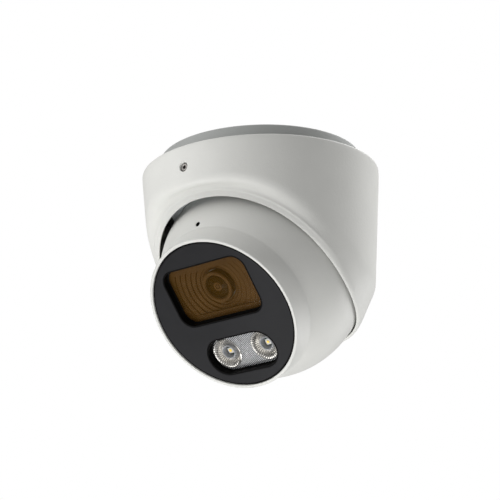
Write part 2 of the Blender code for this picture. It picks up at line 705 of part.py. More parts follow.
def build_main_board(board_look, spreader_look, roll_axis):
    low, high = MAIN_BOARD
    board = make_object("main_board", disc(MAIN_BOARD_RADIUS, low, high, 40), board_look, roll_axis)
    for x, y in STANDOFF_PLACES:
        combine(board, disc(FRONT_SCREW_CLEARANCE, low - 1, high + 1, 12), place=move(x, y))
    spreader = prism(rounded_rectangle(36, 36, 4), low - GAP - 5, low - GAP)
    make_object("heat_spreader", spreader, spreader_look, roll_axis)


def build_standoffs(post_look, screw_look, roll_axis):
    """Three posts between the chassis and the main board, with a screw up into each."""
    post_low = MAIN_BOARD[1] + GAP
    post_high = CHASSIS[0] - GAP
    for number, (x, y) in enumerate(STANDOFF_PLACES, 1):
        post = disc(STANDOFF_RADIUS, post_low, post_high, 12)
        standoff = make_object(f"standoff_{number}", post, post_look, roll_axis, move(x, y))
        combine(standoff, disc(FRONT_SCREW_CLEARANCE, post_low - 1, post_low + 7, 12), place=move(x, y))
        screw = cap_screw(FRONT_SCREW_RADIUS, 1.9, 8.0, 1.2, MAIN_BOARD[0] - GAP - 1.2)
        make_object(f"board_screw_{number}", screw, screw_look, roll_axis, move(x, y))


def build_ribbon_cable(look, roll_axis):
    """A flat cable from the back of the sensor board down to the main board."""
    start = Vector((0, 2.0, SENSOR_BOARD[0] - GAP))
    end = Vector((0, -6.0, MAIN_BOARD[1] + GAP))
    half_width, thickness, steps = 5.0, 0.4, 12
    sections = []
    for k in range(steps + 1):
        t = k / steps
        y = start.y + (end.y - start.y) * (t * t * (3 - 2 * t))
        z = start.z + (end.z - start.z) * t
        sections.append([(-half_width, y, z), (half_width, y, z), (half_width, y + thickness, z),
                         (-half_width, y + thickness, z)])
    make_object("ribbon_cable", swept(sections), look, roll_axis)


# ---------------------------------------------------------------- the whole camera

def add_axis(name, parent=None, location=Vector((0, 0, 0)), rotation=(0, 0, 0)):
    empty = bpy.data.objects.new(name, None)
    empty.empty_display_size = 0.02
    bpy.context.scene.collection.objects.link(empty)
    empty.parent = parent
    empty.location = location * MM
    empty.rotation_euler = rotation
    return empty


def make_looks():
    return {
        "white": material("white_powder_coat", (0.78, 0.78, 0.75), 0.5, 0.0),
        "base_white": material("base_powder_coat", (0.62, 0.63, 0.62), 0.55, 0.0),
        "black": material("black_bezel", (0.03, 0.03, 0.032), 0.35, 0.0),
        "baffle": material("matte_black", (0.06, 0.05, 0.04), 0.7, 0.0),
        "brown": material("brown_pane", (0.16, 0.09, 0.03), 0.08, 0.0),
        "clear": material("clear_plastic", (0.8, 0.82, 0.84), 0.08, 0.0),
        "glass": material("lens_glass", (0.2, 0.16, 0.12), 0.03, 0.0),
        "rubber": material("black_rubber", (0.02, 0.02, 0.02), 0.8, 0.0),
        "grey": material("grey_nylon", (0.22, 0.23, 0.22), 0.6, 0.0),
        "steel": material("steel", (0.55, 0.54, 0.52), 0.35, 1.0),
        "dark_steel": material("blackened_steel", (0.06, 0.06, 0.06), 0.4, 1.0),
        "aluminium": material("aluminium", (0.7, 0.71, 0.72), 0.4, 1.0),
        "board": material("circuit_board", (0.02, 0.14, 0.06), 0.5, 0.0),
        "sensor": material("sensor_package", (0.05, 0.05, 0.07), 0.2, 0.0),
        "led": material("led_package", (0.85, 0.78, 0.5), 0.4, 0.0),
        "ribbon": material("ribbon_film", (0.55, 0.35, 0.1), 0.4, 0.0),
    }


def build():
    for existing in list(bpy.data.objects):
        bpy.data.objects.remove(existing)
    looks = make_looks()
    pan_axis = add_axis("pan_axis")
    tilt_axis = add_axis("tilt_axis", pan_axis, BALL_CENTRE, (math.pi - VIEW_TILT, 0, 0))
    roll_axis = add_axis("roll_axis", tilt_axis)

    build_mounting_base(looks["base_white"])
    build_ceiling_seal(looks["rubber"])
    build_cable_grommet(looks["rubber"])

    build_cover(looks["white"], pan_axis)
    build_set_screw(looks["dark_steel"], pan_axis)
    build_pan_ring(looks["grey"], pan_axis)
    build_pan_ring_screws(looks["steel"], pan_axis)
    build_tilt_guide(looks["steel"], pan_axis)
    build_guide_screws(looks["steel"], pan_axis)
    build_friction_pad(looks["rubber"], pan_axis)

    build_swivel_collar(looks["grey"], tilt_axis)

    build_rear_shell(looks["white"], roll_axis)
    build_shell_seal(looks["rubber"], roll_axis)
    build_front_shell(looks["white"], roll_axis)
    build_collar_clip(looks["steel"], roll_axis)
    build_cable_gland(looks["rubber"], roll_axis)
    build_front_bezel(looks["black"], roll_axis)
    build_bezel_seal(looks["rubber"], roll_axis)
    build_lens_window(looks["brown"], roll_axis)
    build_lens_baffle(looks["baffle"], roll_axis)
    build_lens(looks["baffle"], looks["glass"], looks["dark_steel"], roll_axis)
    build_lens_holder(looks["baffle"], roll_axis)
    build_image_sensor(looks["sensor"], looks["board"], roll_axis)
    build_led_lens(looks["clear"], roll_axis)
    build_led_board(looks["board"], roll_axis)
    build_leds(looks["led"], roll_axis)
    build_microphone(looks["steel"], looks["rubber"], roll_axis)
    build_chassis(looks["aluminium"], roll_axis)
    build_front_screws(looks["steel"], roll_axis)
    build_main_board(looks["board"], looks["aluminium"], roll_axis)
    build_standoffs(looks["steel"], looks["steel"], roll_axis)
    build_ribbon_cable(looks["ribbon"], roll_axis)
    bpy.context.view_layer.update()


build()
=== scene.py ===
"""The looks of a turret security camera: fine shells, face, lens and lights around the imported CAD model.

Lengths are millimetres and are scaled to metres when a mesh is made. Pieces of the ball are modelled in
the ball's own frame: +Z along the view axis, +Y up the face, the ball's centre at the origin.
"""

import json
import math

import bmesh
import bpy
from mathutils import Matrix, Vector


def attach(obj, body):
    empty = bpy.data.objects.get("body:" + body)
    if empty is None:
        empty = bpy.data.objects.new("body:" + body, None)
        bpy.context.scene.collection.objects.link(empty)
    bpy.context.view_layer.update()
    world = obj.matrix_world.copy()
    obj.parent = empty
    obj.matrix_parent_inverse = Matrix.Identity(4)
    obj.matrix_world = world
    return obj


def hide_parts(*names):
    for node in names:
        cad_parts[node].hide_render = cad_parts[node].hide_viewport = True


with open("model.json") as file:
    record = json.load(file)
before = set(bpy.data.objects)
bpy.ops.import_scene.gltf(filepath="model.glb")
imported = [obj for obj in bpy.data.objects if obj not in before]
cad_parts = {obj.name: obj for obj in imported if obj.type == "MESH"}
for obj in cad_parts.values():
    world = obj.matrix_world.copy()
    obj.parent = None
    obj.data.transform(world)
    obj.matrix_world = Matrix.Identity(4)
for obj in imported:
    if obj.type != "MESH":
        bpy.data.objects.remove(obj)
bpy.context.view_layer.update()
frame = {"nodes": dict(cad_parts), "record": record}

MM = 0.001
FULL_TURN = 2 * math.pi

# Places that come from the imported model
joints = {joint["name"]: joint for joint in frame["record"]["behaviour"]["joints"]}
BALL_CENTRE = Vector(joints["tilt"]["pos_m"]) / MM
VIEW_AXIS = Vector(joints["roll"]["axis"]).normalized()
VIEW_TILT = math.atan2(-VIEW_AXIS.y, -VIEW_AXIS.z)
BALL_FRAME = Matrix.Translation(BALL_CENTRE) @ Matrix.Rotation(math.pi - VIEW_TILT, 4, "X")

# Base
BASE_RADIUS = 51.5
BASE_PLATE = 3.0
BASE_BORE = 48.5
SEAL_GROOVE = (44.0, 46.2, 1.5)  # inner and outer radius, depth
SPIGOT_TOP = -8.2
SPIGOT_END = -22.2
SPIGOT_RADIUS = 57.0
SPIGOT_BORE = 54.5
SCREW_LINE = -19.5
CEILING_HOLE_CIRCLE = 36.0
CEILING_HOLE_RADIUS = 2.25
CABLE_HOLE = Vector((0, 24, 0))
CABLE_HOLE_RADIUS = 8.0

# Cover
COVER_CAGE_SEGMENTS = 96
COVER_TOP = -8.5
COVER_RADIUS = 61.0
COVER_TAPER = 0.072
COVER_BORE = 57.4
COVER_WALL = 2.2
MOUTH_TILT = math.radians(33.5)
MOUTH_AXIS = Vector((0, -math.sin(MOUTH_TILT), -math.cos(MOUTH_TILT)))
MOUTH_FRONT = Vector((0, -math.cos(MOUTH_TILT), math.sin(MOUTH_TILT)))
MOUTH_SIDE = Vector((1, 0, 0))
SCREW_HOLE_RADIUS = 2.4

# Ball
BALL_RADIUS = 52.4
SHELL_WALL = 3.2
FLAT_AT = -50.0
PARTING_AT = -16.0
PARTING_HALF = 0.15
CREASE_AT = 31.0
DRUM_FRONT_RADIUS = 41.2
RIM_AT = 42.8
RIM_BORE = 39.6
LEDGE_AT = 36.2
LEDGE_BORE = 36.0
NECK_RADIUS = 5.7
NECK_END = -55.8
NECK_BORE = 3.4
CLIP_GROOVE = (-55.0, -54.0, 5.0)  # both ends, radius
MIC_ANGLE = math.radians(56.7)
MIC_HOLE_RADIUS = 1.25
FINE_SEGMENTS = 192

# Face
BEZEL_RADIUS = 39.0
BEZEL_BACK = 37.3
BEZEL_FRONT = 42.3
LENS_CENTRE = Vector((0, 12.5, 0))
LENS_WINDOW = (51.0, 30.7, 7.0)  # width, height, corner radius
LENS_PANE = (37.6, 38.4)  # back and front
LINER = 0.55
LINER_FRONT = BEZEL_FRONT - 0.12
FACE_GAP = 0.3
FACE_EDGE = 0.22
LED_CENTRE = Vector((0, -22.1, 0))
LED_WINDOW = (41.6, 19.4, 9.7)  # width, height, corner radius
LED_SPACING = 24.0
LED_TOP = 38.3
LED_CUP_RADIUS = 8.0

# Lens, by height along the view axis
LENS_RADIUS = 6.1
LENS_EDGE = 34.9
LENS_CROWN = 1.5
LENS_RIM_FRONT = 37.3

# Edges that meet at more than this, in degrees, are shaded sharp
SHARP = 35
SHELL_SHARP = 28
PLATE_SHARP = 5

# Stage
STAGE_FLOOR = -1.8
FLOOR_HALF = 6.0
LIGHT_DISTANCE = 1.2
LIGHT_SIZE = 0.8
SOFT_LIGHT = 0.31
CAMERA_DISTANCE = 0.9
CAMERA_TARGET = Vector((0, 0, -0.045))
CAMERA_AZIMUTH = math.radians(38.707)
CAMERA_BELOW = math.radians(17.795)
CAMERA_ROLL = math.radians(-1.577)
CAMERA_LENS = 127.25
CAMERA_SHIFT = (-0.02486, -0.01265)


# ---------------------------------------------------------------- mesh helpers

def circle(radius, z, segments):
    angles = [FULL_TURN * k / segments for k in range(segments)]
    return [(radius * math.cos(a), radius * math.sin(a), z) for a in angles]


def join_rings(bm, ring, following):
    for k in range(len(ring)):
        after = (k + 1) % len(ring)
        bm.faces.new((ring[k], ring[after], following[after], following[k]))


def looped(loops):
    """A closed ring-shaped solid through loops of points."""
    bm = bmesh.new()
    rings = [[bm.verts.new(point) for point in loop] for loop in loops]
    for ring, following in zip(rings, rings[1:] + rings[:1]):
        join_rings(bm, ring, following)
    return bm


def swept(sections):
    """A solid through a row of equal sections, closed by flat ends."""
    bm = bmesh.new()
    rings = [[bm.verts.new(point) for point in section] for section in sections]
    for ring, following in zip(rings, rings[1:]):
        join_rings(bm, ring, following)
    bm.faces.new(rings[0])
    bm.faces.new(list(reversed(rings[-1])))
    return bm


def turned_ring(profile, segments=FINE_SEGMENTS):
    return looped([circle(radius, z, segments) for radius, z in profile])


def turned(profile, segments=FINE_SEGMENTS):
    return swept([circle(radius, z, segments) for radius, z in profile])


def prism(outline, low, high):
    return swept([[(x, y, z) for x, y in outline] for z in (low, high)])


def arc(centre, radius, start, end, steps=5):
    """Points (radius, height) on an arc, from one angle to another in degrees."""
    points = []
    for k in range(steps + 1):
        angle = math.radians(start + (end - start) * k / steps)
        points.append((centre[0] + radius * math.cos(angle), centre[1] + radius * math.sin(angle)))
    return points


def rounded_rectangle(width, height, corner, steps=12):
    """The outline of a rectangle with round corners, or of a stadium."""
    outline = []
    for turn, (sx, sy) in enumerate(((1, 1), (-1, 1), (-1, -1), (1, -1))):
        for k in range(steps + 1):
            angle = math.pi / 2 * (turn + k / steps)
            x = sx * (width / 2 - corner) + corner * math.cos(angle)
            y = sy * (height / 2 - corner) + corner * math.sin(angle)
            if not outline or math.dist(outline[-1], (x, y)) > 0.01:
                outline.append((x, y))
    if math.dist(outline[0], outline[-1]) < 0.01:
        outline.pop()
    return outline


def finish_mesh(name, bm, place=Matrix.Identity(4), sharp=SHARP):
    """A mesh in metres from a bmesh in millimetres, with its normals out and its creases sharp."""
    bm.transform(Matrix.Scale(MM, 4) @ place)
    bmesh.ops.recalc_face_normals(bm, faces=bm.faces)
    mesh = bpy.data.meshes.new(name)
    bm.to_mesh(mesh)
    bm.free()
    mesh.shade_smooth()
    mesh.set_sharp_from_angle(angle=math.radians(sharp))
    return mesh


def add(name, bm, look, body, stands_for=(), place=Matrix.Identity(4), sharp=SHARP):
    """A piece of the camera: its mesh, material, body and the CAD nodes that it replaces."""
    made = bpy.data.objects.new(name, finish_mesh(name, bm, place, sharp))
    bpy.context.scene.collection.objects.link(made)
    made.data.materials.append(look)
    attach(made, body)
    if stands_for:
        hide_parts(*stands_for)
    return made


def bake_modifiers(target, sharp=SHARP):
    """Apply an object's modifiers to its mesh and remove the cutters that they used."""
    cutters = [m.object for m in target.modifiers if m.type == "BOOLEAN"]
    bpy.context.view_layer.update()
    graph = bpy.context.evaluated_depsgraph_get()
    mesh = bpy.data.meshes.new_from_object(target.evaluated_get(graph))
    target.modifiers.clear()
    target.data = mesh
    mesh.shade_smooth()
    mesh.set_sharp_from_angle(angle=math.radians(sharp))
    for cutter in cutters:
        bpy.data.objects.remove(cutter)


def cut(target, bm, place=Matrix.Identity(4)):
    """Add a cutter to an object, to be applied by bake_modifiers."""
    cutter = bpy.data.objects.new("cutter", finish_mesh("cutter", bm, place))
    bpy.context.scene.collection.objects.link(cutter)
    cutter.hide_render = True
    modifier = target.modifiers.new("cut", "BOOLEAN")
    modifier.solver = "EXACT"
    modifier.object = cutter


def move(x, y, z=0.0):
    return Matrix.Translation((x, y, z))


def on_face(centre):
    """The ball's frame, moved to a place on the face."""
    return BALL_FRAME @ move(*centre)


# ---------------------------------------------------------------- materials

class Look:
    """A material with a Principled shader, and short ways to add and join nodes."""

    def __init__(self, name, colour, roughness, metallic=0.0):
        self.material = bpy.data.materials.new(name)
        self.material.use_nodes = True
        self.tree = self.material.node_tree
        self.shader = self.tree.nodes["Principled BSDF"]
        self.set("Base Color", (*colour, 1.0))
        self.set("Roughness", roughness)
        self.set("Metallic", metallic)
        self.place = self.tree.nodes.new("ShaderNodeTexCoord").outputs["Object"]

    def set(self, socket, value):
        self.shader.inputs[socket].default_value = value

    def node(self, kind, **values):
        made = self.tree.nodes.new(kind)
        for name, value in values.items():
            setattr(made, name, value)
        return made

    def join(self, output, socket):
        self.tree.links.new(output, socket)

    def noise(self, scale, detail=2.0, roughness=0.5):
        made = self.node("ShaderNodeTexNoise")
        made.inputs["Scale"].default_value = scale
        made.inputs["Detail"].default_value = detail
        made.inputs["Roughness"].default_value = roughness
        self.join(self.place, made.inputs["Vector"])
        return made.outputs["Fac"]

    def ramp(self, factor, *stops):
        """Colours by position along a factor; a stop is (position, grey) or (position, (r, g, b))."""
        made = self.node("ShaderNodeValToRGB")
        elements = made.color_ramp.elements
        while len(elements) < len(stops):
            elements.new(0.5)
        for element, (position, value) in zip(elements, stops):
            colour = (value, value, value) if isinstance(value, float) else value
            element.position = position
            element.color = (*colour, 1.0)
        self.join(factor, made.inputs["Fac"])
        return made.outputs["Color"]

    def vary_colour(self, factor, low, high):
        self.join(self.ramp(factor, (0.3, low), (0.7, high)), self.shader.inputs["Base Color"])

    def vary_roughness(self, factor, low, high):
        self.join(self.ramp(factor, (0.3, low), (0.7, high)), self.shader.inputs["Roughness"])

    def bump(self, height, distance, strength=1.0, under=None):
        made = self.node("ShaderNodeBump")
        made.inputs["Strength"].default_value = strength
        made.inputs["Distance"].default_value = distance
        self.join(height, made.inputs["Height"])
        if under:
            self.join(under, made.inputs["Normal"])
        return made.outputs["Normal"]

    def set_normal(self, normal):
        self.join(normal, self.shader.inputs["Normal"])


def shades(colour, darker, lighter):
    """A colour made a little darker and a little lighter, for a material's unevenness."""
    return [tuple(min(1.0, c * share) for c in colour) for share in (darker, lighter)]


def powder_coat(name, colour, roughness=0.5, grain=0.0001):
    """Powder coat: a fine orange peel, a finer grain, and the faintest unevenness in its colour."""
    look = Look(name, colour, roughness)
    look.set("Specular IOR Level", 0.42)
    look.vary_colour(look.noise(55.0, 3.0), *shades(colour, 0.975, 1.02))
    peel = look.bump(look.noise(700.0, 2.0), grain, 0.6)
    fine = look.bump(look.noise(1900.0, 2.0, 0.6), grain * 0.7, 0.6, peel)
    look.set_normal(fine)
    look.vary_roughness(look.noise(1300.0, 1.0), roughness - 0.05, roughness + 0.07)
    return look.material


def bezel_black():
    """The black face: smooth, faintly mottled plastic with a soft sheen."""
    look = Look("bezel_black", (0.014, 0.014, 0.016), 0.42)
    look.set("Specular IOR Level", 0.14)
    look.vary_colour(look.noise(40.0, 4.0), (0.012, 0.012, 0.0135), (0.017, 0.017, 0.019))
    look.vary_roughness(look.noise(160.0, 3.0), 0.38, 0.46)
    look.set_normal(look.bump(look.noise(1500.0, 2.0), 0.00001, 0.35))
    return look.material


def moulded_plastic(name, colour, roughness, grain=0.00003, specular=0.5):
    look = Look(name, colour, roughness)
    look.set("Specular IOR Level", specular)
    look.vary_colour(look.noise(120.0, 3.0), *shades(colour, 0.88, 1.1))
    look.vary_roughness(look.noise(400.0, 2.0), roughness - 0.05, roughness + 0.05)
    look.set_normal(look.bump(look.noise(1800.0, 2.0), grain, 0.5))
    return look.material


def rubber():
    look = Look("rubber", (0.018, 0.018, 0.018), 0.75)
    look.vary_colour(look.noise(200.0, 4.0), (0.013, 0.013, 0.013), (0.024, 0.024, 0.023))
    look.set_normal(look.bump(look.noise(1400.0, 3.0), 0.00004, 0.6))
    look.set("Specular IOR Level", 0.3)
    return look.material


def metal(name, colour, roughness, stretch=(1.0, 1.0, 14.0)):
    """Machined metal with fine drawn lines."""
    look = Look(name, colour, roughness, 1.0)
    mapping = look.node("ShaderNodeMapping")
    mapping.inputs["Scale"].default_value = stretch
    look.join(look.place, mapping.inputs["Vector"])
    lines = look.node("ShaderNodeTexNoise")
    lines.inputs["Scale"].default_value = 500.0
    lines.inputs["Detail"].default_value = 3.0
    look.join(mapping.outputs["Vector"], lines.inputs["Vector"])
    look.vary_roughness(lines.outputs["Fac"], roughness - 0.08, roughness + 0.1)
    look.vary_colour(look.noise(90.0, 2.0), *shades(colour, 0.9, 1.06))
    look.set_normal(look.bump(lines.outputs["Fac"], 0.00001, 0.4))
    return look.material


def circuit_board():
    """Green solder mask with fine copper tracks showing through it."""
    look = Look("circuit_board", (0.01, 0.09, 0.035), 0.4)
    cells = look.node("ShaderNodeTexVoronoi")
    cells.feature = "DISTANCE_TO_EDGE"
    cells.distance = "MANHATTAN"
    cells.inputs["Scale"].default_value = 420.0
    look.join(look.place, cells.inputs["Vector"])
    tracks = look.ramp(cells.outputs["Distance"], (0.02, (0.03, 0.2, 0.08)), (0.07, (0.008, 0.08, 0.03)))
    look.join(tracks, look.shader.inputs["Base Color"])
    look.set_normal(look.bump(cells.outputs["Distance"], 0.00003, 0.3))
    return look.material


def brown_pane():
    """The tinted pane over the lens, which lets about two thirds of the light through."""
    look = Look("brown_pane", (0.07, 0.034, 0.004), 0.08)
    look.set("Alpha", 0.3)
    look.set("Specular IOR Level", 0.1)
    look.vary_colour(look.noise(30.0, 2.0), (0.065, 0.031, 0.004), (0.075, 0.037, 0.005))
    look.vary_roughness(look.noise(60.0, 2.0), 0.06, 0.1)
    look.material.surface_render_method = "BLENDED"
    return look.material


def lens_glass():
    """The coated glass of the lens, dark with a warm tone under the tinted pane."""
    look = Look("lens_glass", (0.05, 0.025, 0.003), 0.12)
    look.set("Alpha", 0.85)
    look.set("Specular IOR Level", 0.08)
    look.vary_colour(look.noise(80.0, 1.0), (0.045, 0.022, 0.0025), (0.056, 0.028, 0.0035))
    look.vary_roughness(look.noise(50.0, 1.0), 0.1, 0.15)
    look.material.surface_render_method = "BLENDED"
    return look.material


def clear_optic(name, colour, roughness, metallic, grain=0.000002):
    """Clear moulded plastic of the light optics, bright where its back reflects."""
    look = Look(name, colour, roughness, metallic)
    look.set("Coat Weight", 0.6)
    look.set("Coat Roughness", 0.05)
    look.vary_colour(look.noise(420.0, 3.0), *shades(colour, 0.82, 1.16))
    look.vary_roughness(look.noise(300.0, 2.0), roughness - 0.05, roughness + 0.08)
    look.set_normal(look.bump(look.noise(700.0, 2.0), grain, 0.35))
    return look.material


def glowing_led_die():
    look = Look("glowing_led_die", (0.9, 0.58, 0.04), 0.35)
    look.vary_colour(look.noise(1500.0, 2.0), (0.85, 0.5, 0.02), (0.98, 0.7, 0.1))
    look.vary_roughness(look.noise(800.0, 1.0), 0.3, 0.4)
    # A faint yellow glow: painted light that brightens the die.
    look.set("Emission Color", (1.0, 0.66, 0.08, 1.0))
    look.set("Emission Strength", 0.25)
    return look.material


def make_looks():
    return {
        "cover_coat": powder_coat("cover_coat", (0.72, 0.72, 0.69), 0.5),
        "shell_coat": powder_coat("shell_coat", (0.70, 0.70, 0.67), 0.46, 0.00006),
        # The base's grey is darker than the cover's: partly its own colour, partly painted shade and dark
        # reflection.
        "base_coat": powder_coat("base_coat", (0.42, 0.43, 0.42), 0.55),
        "bezel_black": bezel_black(),
        "brown_pane": brown_pane(),
        "clear_optic": clear_optic("clear_optic", (0.66, 0.66, 0.67), 0.2, 0.35, 0.00003),
        "lens_glass": lens_glass(),
        "matte_black": moulded_plastic("matte_black", (0.02, 0.02, 0.02), 0.5),
        "rubber": rubber(),
        "grey_nylon": moulded_plastic("grey_nylon", (0.09, 0.095, 0.09), 0.6),
        "steel": metal("steel", (0.5, 0.49, 0.47), 0.34),
        "dark_steel": metal("dark_steel", (0.2, 0.19, 0.18), 0.36),
        "aluminium": metal("aluminium", (0.62, 0.63, 0.64), 0.4),
        "circuit_board": circuit_board(),
        "sensor_package": moulded_plastic("sensor_package", (0.03, 0.03, 0.045), 0.2, 0.000005),
        "led_package": moulded_plastic("led_package", (0.6, 0.59, 0.55), 0.35, 0.00001),
        "ribbon_film": moulded_plastic("ribbon_film", (0.36, 0.18, 0.04), 0.4, 0.00001),
        "glowing_led_die": glowing_led_die(),
        "funnel": moulded_plastic("funnel_brown", (0.2, 0.095, 0.02), 0.7),
        "barrel": moulded_plastic("barrel_brown", (0.05, 0.024, 0.004), 0.5),
        "pad_grey": moulded_plastic("pad_grey", (0.5, 0.53, 0.54), 0.5),
        # A near-black with almost no sheen, darker than the face: partly the liners' own black, partly
        # painted shade for the window recesses, the gap round the face and the inside of the mic's hole.
        "shade_black": moulded_plastic("shade_black", (0.003, 0.003, 0.003), 0.5, specular=0.05),
    }


def paint_cad_nodes(looks):
    """Give every CAD node the look of its material slot; the pad in the gap shows, and is paler."""
    slots = {part["node"]: part["material_slot"] for part in frame["record"]["subparts"]}
    for name, node in frame["nodes"].items():
        node.data.materials.clear()
        node.data.materials.append(looks[slots[name]])
    frame["nodes"]["friction_pad"].data.materials[0] = looks["pad_grey"]


# ---------------------------------------------------------------- base

def build_base(looks):
    groove_in, groove_out, groove_deep = SEAL_GROOVE
    profile = [(groove_in, 0), (groove_in, -groove_deep), (groove_out, -groove_deep), (groove_out, 0)]
    profile += arc((BASE_RADIUS - 0.8, -0.8), 0.8, 90, 0)
    profile += [(BASE_RADIUS, SPIGOT_TOP + 0.3), (BASE_RADIUS + 0.3, SPIGOT_TOP)]
    profile += [(SPIGOT_RADIUS - 0.3, SPIGOT_TOP), (SPIGOT_RADIUS, SPIGOT_TOP - 0.3)]
    profile += [(SPIGOT_RADIUS, SCREW_LINE + 1), (SPIGOT_RADIUS - 1, SCREW_LINE),
                (SPIGOT_RADIUS, SCREW_LINE - 1)]
    profile += [(SPIGOT_RADIUS, SPIGOT_END), (SPIGOT_BORE, SPIGOT_END), (SPIGOT_BORE, SPIGOT_TOP - 3.8)]
    profile += [(BASE_BORE, SPIGOT_TOP - 1.8), (BASE_BORE, -BASE_PLATE)]
    base = add("base_casting", turned(profile), looks["base_coat"], "base", ["mounting_base"])
    for k in range(3):
        angle = math.radians(30 + 120 * k)
        x, y = CEILING_HOLE_CIRCLE * math.cos(angle), CEILING_HOLE_CIRCLE * math.sin(angle)
        hole = turned([(CEILING_HOLE_RADIUS + 1.5, 0.5), (CEILING_HOLE_RADIUS, -1.0),
                       (CEILING_HOLE_RADIUS, -BASE_PLATE - 1)], 48)
        cut(base, hole, move(x, y))
    cut(base, turned([(CABLE_HOLE_RADIUS, 1), (CABLE_HOLE_RADIUS, -BASE_PLATE - 1)], 64), move(*CABLE_HOLE))
    bake_modifiers(base)

    seal = turned_ring(arc((45.1, -0.7), 0.7, 180, 0, 8) + [(45.8, -1.2), (44.4, -1.2)])
    add("ceiling_gasket", seal, looks["rubber"], "base", ["ceiling_seal"])

    body = CABLE_HOLE_RADIUS - 0.3
    grommet = [(4.2, -0.9)] + arc((4.8, -0.9), 0.6, 180, 90, 4)
    grommet += [(body - 0.4, -0.3), (body, -0.7), (body, -3.3), (body + 2, -3.3)]
    grommet += arc((body + 1.4, -3.9), 0.6, 0, -90, 4) + [(4.8, -4.5), (4.2, -4.0)]
    add("cable_grommet_ring", turned_ring(grommet, 64), looks["rubber"], "base", ["cable_grommet"],
        move(*CABLE_HOLE))


# ---------------------------------------------------------------- cover

def cover_radius(z):
    return COVER_RADIUS - COVER_TAPER * (COVER_TOP - z)


def around(radius, azimuth, z):
    """A point at an azimuth that is zero at the front and grows towards +X."""
    return Vector((radius * math.sin(azimuth), -radius * math.cos(azimuth), z))


def crest(azimuth):
    """Where the cover's wall ends: high at the front, falling to a level stretch at the back."""
    y = -cover_radius(BALL_CENTRE.z) * math.cos(azimuth)
    shoulder = 5 * math.sin(2 * azimuth) ** 2 * max(0.0, math.cos(azimuth))
    slope = 1.6 - 0.55 * y + shoulder
    floor, softness = -9.3, 2.2
    height = floor + softness * math.log1p(math.exp((slope - floor) / softness))
    z = BALL_CENTRE.z + height
    return around(cover_radius(z), azimuth, z)


def mouth_outward(angle):
    return math.cos(angle) * MOUTH_FRONT + math.sin(angle) * MOUTH_SIDE


def mouth_edge(angle):
    """The inner edge of the mouth, a rounded loop that stands proud at its sides."""
    radius = 53.3 + 1.4 * math.cos(angle) + 1.6 * math.cos(2 * angle) + 0.3 * math.cos(3 * angle)
    height = 7.35 - 5.16 * math.cos(2 * angle) + 1.56 * math.cos(3 * angle)
    return BALL_CENTRE + radius * mouth_outward(angle) + height * MOUTH_AXIS


def lip_outer(angle):
    width = 2.6 + 0.6 * math.cos(angle)
    return mouth_edge(angle) + width * mouth_outward(angle) - 1.2 * MOUTH_AXIS


def lip_foot(angle):
    """Where the shoulder meets the short wall that carries the lip at the back."""
    back = (1 - math.cos(angle)) / 2
    return lip_outer(angle) - 6.0 * back ** 2 * MOUTH_AXIS + 0.4 * mouth_outward(angle)


def cover_cage():
    """The cover's loops for a subdivision surface: down its outside, round its lip, up its inside."""
    angles = [FULL_TURN * k / COVER_CAGE_SEGMENTS for k in range(COVER_CAGE_SEGMENTS)]

    def level(radius, z):
        return [around(radius, angle, z) for angle in angles]

    def wall(angle, share):
        low = crest(angle).z
        z = COVER_TOP - 2 + (low - COVER_TOP + 2) * share
        return around(cover_radius(z), angle, z)

    def above_crest(angle, distance):
        z = crest(angle).z + distance
        return around(cover_radius(z), angle, z)

    def shoulder(angle, distance):
        top = crest(angle)
        return top + distance * (lip_foot(angle) - top).normalized()

    def hollow(angle, share, depth):
        """A point part of the way down the shoulder, sunk below the straight line at the front."""
        depth *= max(0.0, math.cos(angle)) ** 1.5
        top, foot = crest(angle), lip_foot(angle)
        along = (foot - top).normalized()
        inward = Vector((0, 0, 1)) - along * along.z
        return top.lerp(foot, share) + depth * inward.normalized()

    def inner_crest(angle):
        top = crest(angle)
        return around(math.hypot(top.x, top.y) - COVER_WALL, angle, top.z + 2.2)

    def edge(angle, outward, along):
        return mouth_edge(angle) + outward * mouth_outward(angle) + along * MOUTH_AXIS

    return [
        level(COVER_BORE, COVER_TOP - 0.4),
        level(COVER_BORE + 0.4, COVER_TOP),
        level(COVER_RADIUS - 1.2, COVER_TOP),
        level(COVER_RADIUS - 0.35, COVER_TOP - 0.15),
        level(COVER_RADIUS - 0.05, COVER_TOP - 1.2),
        [wall(a, 0.3) for a in angles],
        [wall(a, 0.62) for a in angles],
        [above_crest(a, 3.6) for a in angles],
        [above_crest(a, 1.3) for a in angles],
        [shoulder(a, 1.3) for a in angles],
        [shoulder(a, 3.4) for a in angles],
        [hollow(a, 0.62, 0.9) for a in angles],
        [hollow(a, 0.85, 1.4) for a in angles],
        [lip_foot(a) for a in angles],
        [lip_outer(a) - 0.3 * MOUTH_AXIS - 0.1 * mouth_outward(a) for a in angles],
        [edge(a, 1.7, -0.3) for a in angles],
        [edge(a, 0.8, 0.2) for a in angles],
        [edge(a, 0.2, 0.15) for a in angles],
        [edge(a, 0.0, -0.3) for a in angles],
        [edge(a, 0.5, -2.0) for a in angles],
        [lip_outer(a) - 2.2 * MOUTH_AXIS for a in angles],
        [inner_crest(a) for a in angles],
        level(COVER_BORE, SPIGOT_END - 0.6),
    ]


